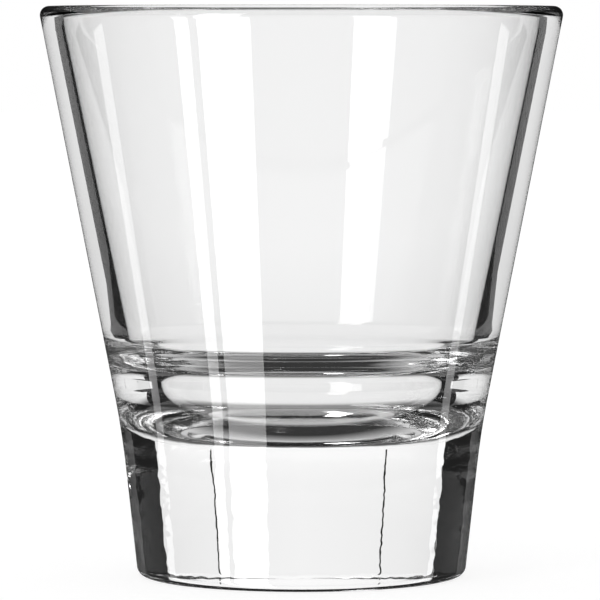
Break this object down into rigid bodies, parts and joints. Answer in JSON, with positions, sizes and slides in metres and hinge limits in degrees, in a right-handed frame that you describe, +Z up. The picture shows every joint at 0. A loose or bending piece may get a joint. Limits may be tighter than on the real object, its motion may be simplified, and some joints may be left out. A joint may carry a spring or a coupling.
{
  "type": "rocks glass",
  "caption": "Short flared drinking glass of clear pressed glass, with a stepped bowl, a heavy solid base and a rounded rim, for a short drink over ice.",
  "frame": {"origin": "on the glass's axis, at the level of the bearing ring that it stands on", "axes": "+Z up along the axis of revolution, X and Y level and equivalent"},
  "size_m": [0.087, 0.087, 0.095],
  "materials": {
    "clear_glass": "clear soda-lime glass, pressed and fire-polished"
  },
  "bodies": {
    "root": {"glass_body": "clear_glass"}
  },
  "joints": []
}
